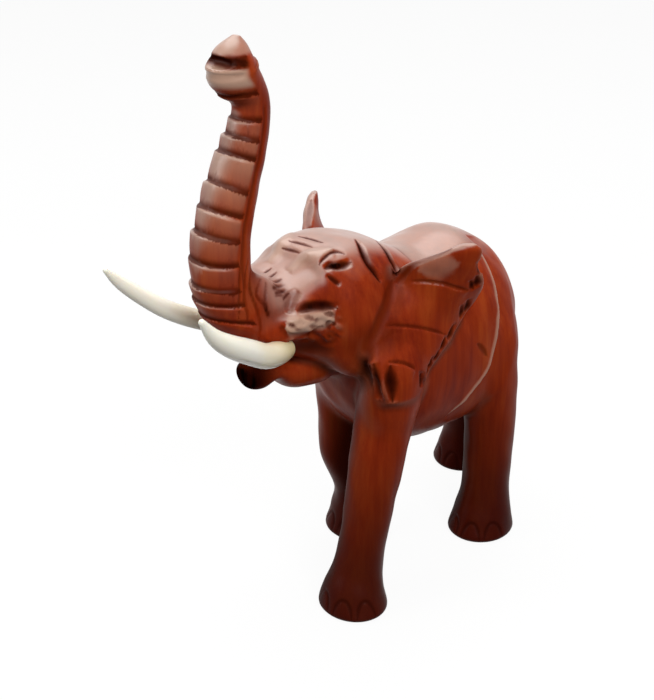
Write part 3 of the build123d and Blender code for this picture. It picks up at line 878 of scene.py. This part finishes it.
@dataclass
class Tail:
    """The tail in relief on the rump, with a tuft."""

    x: float = -8.0
    rows: Path = (
        (58, 131, 2.4, 3), (66.5, 122, 2.8, 3.2), (73.2, 112, 2.8, 3.2), (76, 101, 2.6, 3.2),
        (74, 88.5, 2.6, 3.4), (69, 77, 3.2, 4), (66, 68, 2.2, 3),
    )

    def shape(self, clay: Clay) -> None:
        """Adds the tail."""
        rows = flow([(self.x, y, z, w, d) for y, z, w, d in self.rows])
        clay.add(tube(rows, around=48), 1.2)

    def carve(self, clay: Clay) -> None:
        """Cuts hair into the tuft and wrinkles across the tail."""
        for offset in (-1.8, -0.6, 0.7, 1.9):
            path = [(self.x + offset, y + 3.4, z) for y, z, _, _ in self.rows[-3:]]
            clay.carve(Stroke(path, 0.7, 0.6, stain=0.4))
        for y, z, _, _ in flow(self.rows[1:5], 3):
            path = [(self.x + out, y + back, z) for out, back in ((-2.6, 1.5), (0, 3.2), (2.6, 1.5))]
            clay.carve(Stroke(path, 0.6, 0.4))


# ---------------------------------------------------------------- finishes


def linear(code: str) -> tuple[float, float, float, float]:
    """A colour for a shader, from its sRGB hex code."""
    values = [int(code[i:i + 2], 16) / 255 for i in (0, 2, 4)]
    low = [v / 12.92 if v <= 0.04045 else ((v + 0.055) / 1.055) ** 2.4 for v in values]
    return (low[0], low[1], low[2], 1.0)


class Nodes:
    """A node tree, with short ways to add to it."""

    def __init__(self, owner: bpy.types.ID) -> None:
        """Takes up the node tree of a new material or world."""
        owner.use_nodes = True
        self.tree = owner.node_tree

    def add(self, kind: str, inputs: Optional[dict] = None, **settings):
        """Adds a node of a kind, gives it its inputs by name or index, and sets its properties."""
        node = self.tree.nodes.new(kind)
        for name, value in settings.items():
            setattr(node, name, value)
        self.put(node, inputs or {})
        return node

    def put(self, node: bpy.types.Node, inputs: dict) -> None:
        """Sets a node's inputs, or links them to other nodes' outputs."""
        for name, value in inputs.items():
            if isinstance(value, bpy.types.NodeSocket):
                self.tree.links.new(value, node.inputs[name])
            else:
                node.inputs[name].default_value = value

    def ramp(self, factor, stops: Sequence[tuple[float, str]]):
        """A ramp of sRGB hex colours over a factor."""
        node = self.add("ShaderNodeValToRGB", {0: factor})
        ramp = node.color_ramp
        while len(ramp.elements) < len(stops):
            ramp.elements.new(0.5)
        for element, (place, code) in zip(ramp.elements, stops):
            element.position = place
            element.color = linear(code)
        return node.outputs[0]

    def mix(self, factor, colour, code: str):
        """Mixes an sRGB hex colour into a colour."""
        node = self.add("ShaderNodeMix", data_type="RGBA")
        self.put(node, {0: factor, 6: colour, 7: linear(code)})
        return node.outputs[2]

    def math(self, operation: str, a, b=0.0, clamp: bool = False):
        """One sum on two values."""
        node = self.add("ShaderNodeMath", {0: a, 1: b}, operation=operation, use_clamp=clamp)
        return node.outputs[0]

    def times(self, a, b, clamp: bool = False):
        """The product of two values."""
        return self.math("MULTIPLY", a, b, clamp)

    def plus(self, a, b):
        """The sum of two values."""
        return self.math("ADD", a, b)

    def layer(self, name: str):
        """The numbers that a mesh keeps under a name."""
        return self.add("ShaderNodeAttribute", attribute_name=name).outputs["Fac"]

    def where(self):
        """Places on the piece."""
        return self.add("ShaderNodeTexCoord").outputs["Object"]

    def either(self, factor, a, b):
        """One shader where a factor is zero, and another where it is one."""
        return self.add("ShaderNodeMixShader", {0: factor, 1: a, 2: b}).outputs[0]

    def seen(self):
        """One for rays from the camera, plain, mirrored or let through; zero for light that bounces."""
        path = self.add("ShaderNodeLightPath").outputs
        plain = self.math("MAXIMUM", path["Is Camera Ray"], path["Is Glossy Ray"])
        return self.math("MAXIMUM", plain, path["Is Transmission Ray"])

    def noise(self, where, size_mm: Sequence[float], detail: float = 3.0, rough: float = 0.55):
        """Cloudy noise whose lumps have a size in mm along each axis."""
        scale = self.add("ShaderNodeMapping", {"Vector": where, "Scale": [1000 / s for s in size_mm]})
        node = self.add("ShaderNodeTexNoise", {"Vector": scale.outputs[0], "Scale": 1.0, "Detail": detail,
                                               "Roughness": rough})
        return node.outputs["Fac"]

    def bump(self, height, strength: float, distance: float):
        """A fine relief that follows a height."""
        inputs = {"Strength": strength, "Distance": distance, "Height": height}
        return self.add("ShaderNodeBump", inputs).outputs[0]


class Surface(Nodes):
    """The nodes of a new material with a Principled shader."""

    def __init__(self, name: str) -> None:
        """Starts the material."""
        self.material = bpy.data.materials.new(name)
        super().__init__(self.material)
        self.shader = self.tree.nodes["Principled BSDF"]
        self.output = self.tree.nodes["Material Output"]

    def finish(self, **inputs) -> bpy.types.Material:
        """Sets the shader's inputs, named with underscores for spaces, and hands over the material."""
        self.put(self.shader, {name.replace("_", " "): value for name, value in inputs.items()})
        return self.material


@dataclass(frozen=True)
class HardwoodFinish:
    """Red-brown hardwood under a worn gloss varnish, with dark stain and painted shade in the cuts, painted shade
    towards the feet, and painted highlights and a painted sheen where the light catches it.
    """

    deep: str = "701A07"
    middle: str = "8E2E0E"
    light: str = "A24218"
    # near-black stain, also used for painted shade
    stain: str = "0C0201"
    # pale wear on the edges, also used for painted highlights
    worn_and_painted_highlight: str = "C0947A"
    # pale grey painted sheen
    painted_sheen: str = "B09E8C"
    # near-black red for the painted shade towards the feet
    low: str = "2C0300"
    grain_mm: Sequence[float] = (2.6, 2.6, 38.0)
    figure_mm: Sequence[float] = (16.0, 16.0, 55.0)
    pore_mm: Sequence[float] = (0.45, 0.45, 4.5)
    smear_mm: Sequence[float] = (9.0, 9.0, 14.0)

    def material(self) -> bpy.types.Material:
        """Builds the varnished timber: grain and pores run up and down the block."""
        nodes = Surface("varnished_hardwood")
        plus, times, layer = nodes.plus, nodes.times, nodes.layer
        where = nodes.where()
        figure = nodes.noise(where, self.figure_mm, 2.0)
        grain = nodes.noise(where, self.grain_mm, 4.0, 0.6)
        pores = nodes.noise(where, self.pore_mm, 1.0)
        smear = nodes.noise(where, self.smear_mm, 3.0)
        tone = plus(times(figure, 0.62), times(grain, 0.38))
        colour = nodes.ramp(tone, ((0.30, self.deep), (0.50, self.middle), (0.70, self.light)))
        fleck = times(nodes.math("GREATER_THAN", pores, 0.66), 0.15)
        colour = nodes.mix(fleck, colour, self.deep)
        # painted shade, darker towards the feet
        colour = nodes.mix(times(layer("low"), 0.9), colour, self.low)
        # pale wear on the edges, and painted highlights on the trunk's lips and on raised ridges
        colour = nodes.mix(times(layer("worn_and_painted_highlight"), 0.8), colour, self.worn_and_painted_highlight)
        polish, hollow = layer("polish"), layer("hollow")
        # painted sheen where the faces turn up to the light; the same layer sets the coat
        colour = nodes.mix(times(polish, 0.45), colour, self.painted_sheen)
        patch = nodes.add("ShaderNodeMath", {0: grain, 1: 0.5, 2: 0.72}, operation="MULTIPLY_ADD").outputs[0]
        # dark stain and painted shade in the hollows, the mouth, the slot and between the legs
        colour = nodes.mix(times(hollow, patch, clamp=True), colour, self.stain)
        shine = plus(times(polish, 0.15), 0.05)
        bare = nodes.math("SUBTRACT", 1.0, hollow, clamp=True)
        uneven = plus(times(smear, 0.6), 0.65)
        relief = plus(times(grain, 0.6), times(pores, 0.25))
        return nodes.finish(
            Base_Color=colour, Normal=nodes.bump(relief, 0.35, 0.00025),
            Roughness=plus(plus(times(smear, 0.2), 0.28), times(hollow, 0.2)),
            Coat_Weight=times(polish, uneven, clamp=True), Coat_IOR=1.55, Coat_Roughness=0.34,
            Specular_IOR_Level=times(bare, shine),
        )


@dataclass(frozen=True)
class IvoryFinish:
    """Polished cream resin, yellower towards the root."""

    pale: str = "FFFBEC"
    warm: str = "F0DEAC"
    line_mm: Sequence[float] = (1.1, 9.0, 1.1)
    cloud_mm: Sequence[float] = (14.0, 14.0, 14.0)

    def material(self) -> bpy.types.Material:
        """Builds the resin: faint lines run along the tusk."""
        nodes = Surface("ivory_resin")
        plus, times = nodes.plus, nodes.times
        where = nodes.where()
        lines = nodes.noise(where, self.line_mm, 2.0)
        cloud = nodes.noise(where, self.cloud_mm, 2.0)
        tone = plus(plus(times(cloud, 0.35), times(nodes.layer("root"), 0.75)), times(lines, 0.12))
        return nodes.finish(
            Base_Color=nodes.ramp(tone, ((0.15, self.pale), (0.95, self.warm))),
            Roughness=plus(times(cloud, 0.15), 0.24), Normal=nodes.bump(lines, 0.15, 0.0001),
            Subsurface_Weight=0.15, Subsurface_Radius=(0.002, 0.0015, 0.001),
            Coat_Weight=0.3, Coat_Roughness=0.1,
        )


@dataclass(frozen=True)
class FloorFinish:
    """Matt white paper that shows nearly pure white and casts less light back than it shows.

    Attributes:
        colour: the paper where its mottle is darkest.
        lightest: the paper where its mottle is lightest.
        bounce: the grey that bounced light meets.
        whitening: share of plain white in what is seen.
    """

    colour: str = "F4F3F1"
    lightest: str = "FAFAF9"
    bounce: str = "4A4543"
    whitening: float = 0.93
    mottle_mm: Sequence[float] = (180.0, 180.0, 180.0)

    def material(self) -> bpy.types.Material:
        """Builds the paper, with a faint mottle."""
        nodes = Surface("white_paper")
        mottle = nodes.noise(nodes.where(), self.mottle_mm, 2.0)
        glow = nodes.add("ShaderNodeEmission", {"Color": (1, 1, 1, 1), "Strength": 1.0}).outputs[0]
        grey = nodes.add("ShaderNodeBsdfDiffuse", {"Color": linear(self.bounce)}).outputs[0]
        plain = nodes.either(self.whitening, nodes.shader.outputs[0], glow)
        nodes.put(nodes.output, {"Surface": nodes.either(nodes.seen(), grey, plain)})
        colour = nodes.ramp(mottle, ((0.3, self.colour), (0.7, self.lightest)))
        return nodes.finish(Base_Color=colour, Roughness=0.9)


# ---------------------------------------------------------------- pieces


def to_part(points: Array) -> Array:
    """Points in mm in the carver's frame, as metres in the part's frame."""
    return (points + (0, CARVER_Y, 0)) * MM


def link(name: str, data: bpy.types.ID) -> bpy.types.Object:
    """Puts a new object into the scene."""
    piece = bpy.data.objects.new(name, data)
    bpy.context.scene.collection.objects.link(piece)
    return piece


def smooth(mesh: bpy.types.Mesh) -> None:
    """Shades every face smooth."""
    mesh.polygons.foreach_set("use_smooth", np.ones(len(mesh.polygons), bool))


def new_object(name: str, points: Array, faces: Sequence[Sequence[int]]) -> bpy.types.Object:
    """Makes a smooth-shaded object from points in metres and faces."""
    mesh = bpy.data.meshes.new(name)
    mesh.from_pydata(points.tolist(), [], faces)
    smooth(mesh)
    mesh.update()
    return link(name, mesh)


def store(mesh: bpy.types.Mesh, name: str, values: Array) -> None:
    """Keeps one number for each vertex under a name."""
    layer = mesh.attributes.new(name, "FLOAT", "POINT")
    layer.data.foreach_set("value", np.asarray(values, np.float32))


@dataclass
class CarvedBody:
    """The whole animal but its tusks, carved from one block of timber.

    Attributes:
        triangles: how many the finished mesh has.
        probe: how far in and out the surface is felt for hollows and edges.
        stained: centre, radius and strength of the dark patches on both sides: painted shade in the mouth and on the
            neck in front of the ear, and painted shade with stain at the jaw's tip.
        dull_neck: middle of the patch on the neck where the painted sheen and the coat are held back.
        bright_muzzle: middle of the patch at the trunk's root that gets a painted sheen and a stronger coat.
        front_girth: half widths and half depths of a front leg, from the shoulder to the sole.
        front_left: x and y of that leg's middle at the same heights.
    """

    triangles: int = 230_000
    probe: float = 1.4
    # painted shade in the mouth and on the neck, and painted shade with stain at the jaw's tip
    stained: Sequence[tuple] = (
        ((0, -86, 113.5), 14.0, 1.0), ((21, -70, 126), 13.0, 0.72), ((26, -41, 128), 17.0, 0.4),
    )
    dull_neck: Sequence[float] = (28, -31, 136)
    bright_muzzle: Sequence[float] = (9, -76, 154)
    finish: HardwoodFinish = field(default_factory=HardwoodFinish)
    torso: Torso = field(default_factory=Torso)
    head: Head = field(default_factory=Head)
    trunk: Trunk = field(default_factory=Trunk)
    ear: Ear = field(default_factory=Ear)
    tail: Tail = field(default_factory=Tail)
    front_girth: Path = (
        (4, 5), (9, 11.5), (12, 14.2), (12.6, 12.8), (11.9, 11.8), (10.6, 10.6), (10.6, 10.9), (13.4, 13.2),
        (16, 14.4), (16, 14.4),
    )
    hind_girth: Path = (
        (6, 8), (12, 15), (15, 17.4), (14.5, 14.6), (12.4, 12.2), (11.5, 11.6), (11.3, 12), (13.4, 14.6),
        (15, 16.2), (15, 16.2),
    )
    front_left: Path = (
        (20, -20), (22.5, -22), (24.5, -25.5), (26.5, -32), (27, -37), (27, -41.5), (26.9, -46.2),
        (27.4, -49.6), (27.9, -50.6), (27.9, -50.6),
    )
    front_right: Path = (
        (-20, -17), (-20.4, -15.5), (-20, -14.4), (-19.6, -13.6), (-19.6, -12.6), (-20.4, -12.2),
        (-18.4, -4.8), (-17.4, -4.6), (-16, -6.4), (-16, -6.4),
    )
    hind_left: Path = (
        (16, 28), (18.5, 31), (20.9, 34.2), (22.2, 37.2), (23.6, 40), (23.8, 40.6), (23.9, 40), (24.4, 38.2),
        (24.6, 37.2), (24.6, 37.2),
    )
    hind_right: Path = (
        (-14, 42), (-17, 45), (-20, 49), (-22.5, 58), (-24, 68), (-24.5, 75), (-25, 80.5), (-25.5, 80.5),
        (-25.5, 80), (-25.5, 80),
    )

    def legs(self) -> list[Leg]:
        """The four legs."""
        front, hind = self.front_girth, self.hind_girth
        return [Leg(self.front_left, front, Side.LEFT), Leg(self.front_right, front, Side.RIGHT),
                Leg(self.hind_left, hind, Side.LEFT), Leg(self.hind_right, hind, Side.RIGHT)]

    def sculpt(self) -> Clay:
        """Builds the forms and makes the cuts."""
        clay = Clay(BLOCK_LOW, BLOCK_HIGH, VOXEL, 8.0)
        legs = self.legs()
        for part in (self.torso, self.head, *legs, self.trunk, self.ear, self.tail):
            part.shape(clay)
            log.info("shaped %s", type(part).__name__)
        clay.ripple(0.16, 14.0, 5, (*BLOCK_LOW[:2], 1.0), BLOCK_HIGH, fade=3)
        for part in (self.torso, self.trunk, self.head, self.ear, *legs, self.tail):
            part.carve(clay)
            log.info("carved %s", type(part).__name__)
        cells, _, _, z = clay.window(BLOCK_LOW, (*BLOCK_HIGH[:2], 3.0))
        clay.field[cells] = np.maximum(clay.field[cells], -z)  # saws the soles flat at the floor
        return clay

    def build(self) -> bpy.types.Object:
        """Turns the clay into the body's mesh and dresses it."""
        clay = self.sculpt()
        points, faces = clay.surface()
        rough = new_object("sculpt", to_part(points), faces)
        faces_before = sum(len(face) - 2 for face in faces)
        reduce = rough.modifiers.new("reduce", "DECIMATE")
        reduce.ratio = min(1.0, self.triangles / faces_before)
        graph = bpy.context.evaluated_depsgraph_get()
        mesh = bpy.data.meshes.new_from_object(rough.evaluated_get(graph))
        old = rough.data
        bpy.data.objects.remove(rough)
        bpy.data.meshes.remove(old)
        mesh.name = "elephant_body"
        self.paint(clay, mesh)
        smooth(mesh)
        mesh.materials.clear()
        mesh.materials.append(self.finish.material())
        log.info("body: %d faces from %d", len(mesh.polygons), faces_before)
        return link("elephant_body", mesh)

    def paint(self, clay: Clay, mesh: bpy.types.Mesh) -> None:
        """Works out where stain and painted shade darken the wood, where it is worn or painted with highlights, and
        where it gets a painted sheen and a thicker coat.
        """
        places = np.empty(len(mesh.vertices) * 3)
        mesh.vertices.foreach_get("co", places)
        points = places.reshape(-1, 3) / MM - (0, CARVER_Y, 0)
        even = np.abs(points) * (1, 0, 0) + points * (0, 1, 1)
        height = points[:, 2]
        normal = clay.slope(points, 0.7)
        here = clay.read(points)
        outside = clay.read(points + normal * self.probe) - here
        inside = clay.read(points - normal * self.probe) - here
        # stain in the hollows, which also stands as painted shade there: darker where the surface is concave
        hollow = np.clip((1.32 - outside) / 0.75, 0, 1)
        edges = np.clip((1.30 + inside) / 0.9, 0, 1)
        # wear and painted highlights from the pale strokes
        rubbed_and_highlit = np.zeros(len(points))
        for stroke in clay.strokes:
            stroke.mark(points, hollow if stroke.stain > 0 else rubbed_and_highlit)
        # patches of painted shade, darkest at their middles
        for centre, radius, strength in self.stained:
            gap = np.linalg.norm((even - centre) * (1, 0.8, 1.4), axis=1)
            hollow = np.maximum(hollow, strength * (1 - soft_step(radius * 0.4, radius, gap)))
        hollow = np.maximum(hollow, self.trunk.shade(points))
        # painted shade on the legs' inner faces, between the legs
        inner = soft_step(0, 0.7, -normal[:, 0] * np.sign(points[:, 0])) * (1 - soft_step(85, 105, height))
        hollow = np.maximum(hollow, 0.6 * inner)
        tip = self.trunk.pale_tip(points)
        pale = np.maximum(np.maximum(0.68 * self.trunk.front(points), tip), rubbed_and_highlit)
        # painted sheen on faces turned up towards the overhead lamp, held back on the neck and added at the trunk's
        # root; it also sets the coat
        tilt = normal @ (0, -0.38, 0.925) - 0.4 * np.abs(normal[:, 0])
        up = soft_step(0.22, 0.72, tilt) * soft_step(118, 142, height)
        neck = 1 - soft_step(10, 24, np.linalg.norm(even - self.dull_neck, axis=1))
        muzzle = 1 - soft_step(6, 14, np.linalg.norm((even - self.bright_muzzle) * (0.8, 1, 1), axis=1))
        up = np.maximum(up, 0.8 * muzzle)
        sheen = np.maximum(up * (1 - 0.9 * neck), 0.7 * np.maximum(tip, rubbed_and_highlit))
        store(mesh, "hollow", hollow)
        # edge wear together with painted highlights
        store(mesh, "worn_and_painted_highlight", np.maximum(0.5 * edges, pale) * (1 - hollow))
        store(mesh, "polish", np.clip(sheen, 0, 1) * (1 - hollow))
        # painted shade: darker towards the feet
        store(mesh, "low", 1 - soft_step(8, 105, height))


LEFT_TUSK: Path = (
    (13.6, -74.5, 129, 4.5), (18.2, -83, 130.4, 4.9), (22.6, -93, 133.8, 5), (26, -104, 140.4, 4.9),
    (28.6, -114.5, 147, 4.3), (30, -122.5, 153.6, 3.1), (30.5, -129, 162.5, 1),
)
RIGHT_TUSK: Path = (
    (13.6, -74.5, 129.4, 4.4), (18.2, -83, 131.2, 4.5), (22.6, -93, 134.6, 4.1), (26, -104, 140.8, 3.8),
    (28.6, -114.5, 149.2, 3.3), (30, -122.5, 156.6, 2.5), (30.5, -128.6, 163.6, 0.9),
)


@dataclass
class Tusk:
    """One tusk: a curved taper with a rounded root.

    Attributes:
        rows: x, y, z and radius along the centre line, as if it were the left tusk.
        root_round: over how far the hidden root is rounded.
        tip_round: over how far the tip is rounded.
        warm_length: how far from the root the yellow tone fades out.
    """

    side: Side
    finish: bpy.types.Material
    rows: Path
    root_round: float = 3.4
    tip_round: float = 0.9
    warm_length: float = 30.0

    def build(self) -> bpy.types.Object:
        """Makes the tusk's mesh."""
        rows = flow(self.rows, 14)
        length = np.concatenate([[0], np.cumsum(np.linalg.norm(np.diff(rows[:, :3], axis=0), axis=1))])
        distance = np.concatenate([np.linspace(0.0, 1, 9)[1:] ** 2 * self.root_round,
                                   np.linspace(self.root_round, length[-1], 90)[1:]])
        sampled = np.stack([np.interp(distance, length, rows[:, i]) for i in range(4)], 1)
        start = np.clip(distance / self.root_round, 0, 1)
        end = np.clip((length[-1] - distance) / self.tip_round, 0.02, 1)
        radius = sampled[:, 3] * np.sqrt(1 - (1 - start) ** 2) * np.sqrt(1 - (1 - end) ** 2)
        shell = tube(np.column_stack([sampled[:, :3], radius, radius]), (1, 0.45, 0), 72)
        if self.side is Side.RIGHT:
            shell = mirrored(shell)
        faces = face_list(shell.quads, shell.triangles)
        piece = new_object(f"tusk_{self.side.name.lower()}", to_part(shell.points.astype(float)), faces)
        away = np.abs(shell.points[:, 1] - self.rows[0][1]) / self.warm_length
        store(piece.data, "root", np.clip(1 - away, 0, 1))
        piece.data.materials.append(self.finish)
        log.info("%s: %d faces", piece.name, len(faces))
        return piece


@dataclass
class Studio:
    """White paper floor, soft lights, and the camera.

    Attributes:
        eye: where the camera stands, in metres in the part's frame.
        look: the way it looks.
        lens: its focal length in mm.
        lamps: place, power and size of each lamp.
        lit: the spot that the lamps point at.
        floor_half: half the length of the floor's side.
    """

    eye: Sequence[float] = (0.3753, -0.3654, 0.3559)
    look: Sequence[float] = (-0.6662, 0.6064, -0.4341)
    lens: float = 68.15
    lamps: Sequence[tuple] = (
        ((-0.25, 0.20, 1.05), 8.6, 0.95), ((0.80, -0.30, 0.85), 8.4, 0.6), ((-0.45, -0.95, 0.70), 4.0, 0.6),
    )
    lit: Sequence[float] = (0, -0.01, 0.12)
    floor_half: float = 4.0

    def build(self) -> None:
        """Makes the floor, the light and the camera."""
        half = self.floor_half
        corners = np.array([(-half, -half, 0), (half, -half, 0), (half, half, 0), (-half, half, 0)])
        floor = new_object("paper_floor", corners, [(0, 1, 2, 3)])
        floor.data.materials.append(FloorFinish().material())
        floor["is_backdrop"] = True
        self.light()
        self.camera()
        log.info("studio ready")

    def light(self) -> None:
        """Adds the lamps and the white surroundings."""
        scene = bpy.context.scene
        for place, power, size in self.lamps:
            lamp = bpy.data.lights.new("softbox", "AREA")
            lamp.energy = power
            lamp.size = size
            holder = link("softbox", lamp)
            holder.location = place
            aim = Vector(self.lit) - Vector(place)
            holder.rotation_euler = aim.to_track_quat("-Z", "Y").to_euler()
        world = bpy.data.worlds.new("white_room")
        scene.world = world
        nodes = Nodes(world)
        nodes.tree.nodes.clear()
        room, white = (nodes.add("ShaderNodeBackground", {"Color": colour, "Strength": strength}).outputs[0]
                       for colour, strength in (((0.96, 0.98, 1.0, 1.0), 0.25), ((1, 1, 1, 1), 1.0)))
        nodes.add("ShaderNodeOutputWorld", {"Surface": nodes.either(nodes.seen(), room, white)})
        scene.view_settings.view_transform = "Standard"

    def camera(self) -> None:
        """Places the camera."""
        lens = bpy.data.cameras.new("camera")
        lens.lens = self.lens
        lens.sensor_width = 36.0
        lens.clip_start = 0.01
        holder = link("camera", lens)
        forward = Vector(self.look).normalized()
        right = forward.cross(Vector(UP)).normalized()
        up = right.cross(forward)
        turn = Matrix((right, up, -forward)).transposed().to_4x4()
        holder.matrix_world = Matrix.Translation(self.eye) @ turn
        bpy.context.scene.camera = holder


def main() -> None:
    """Builds every piece and the studio."""
    logging.basicConfig(level=logging.INFO, format="%(name)s: %(message)s")
    body = CarvedBody().build()
    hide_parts("carved_body")
    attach(body, "root")
    ivory = IvoryFinish().material()
    for side, rows in ((Side.LEFT, LEFT_TUSK), (Side.RIGHT, RIGHT_TUSK)):
        tusk = Tusk(side, ivory, rows).build()
        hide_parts(f"{side.name.lower()}_tusk")
        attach(tusk, "root")
    Studio().build()
    sizes = {name: [list(corner) for corner in box] for name, box in (("cad", cad_bounds), ("visual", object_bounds()))}


if __name__ == "__main__":
    main()
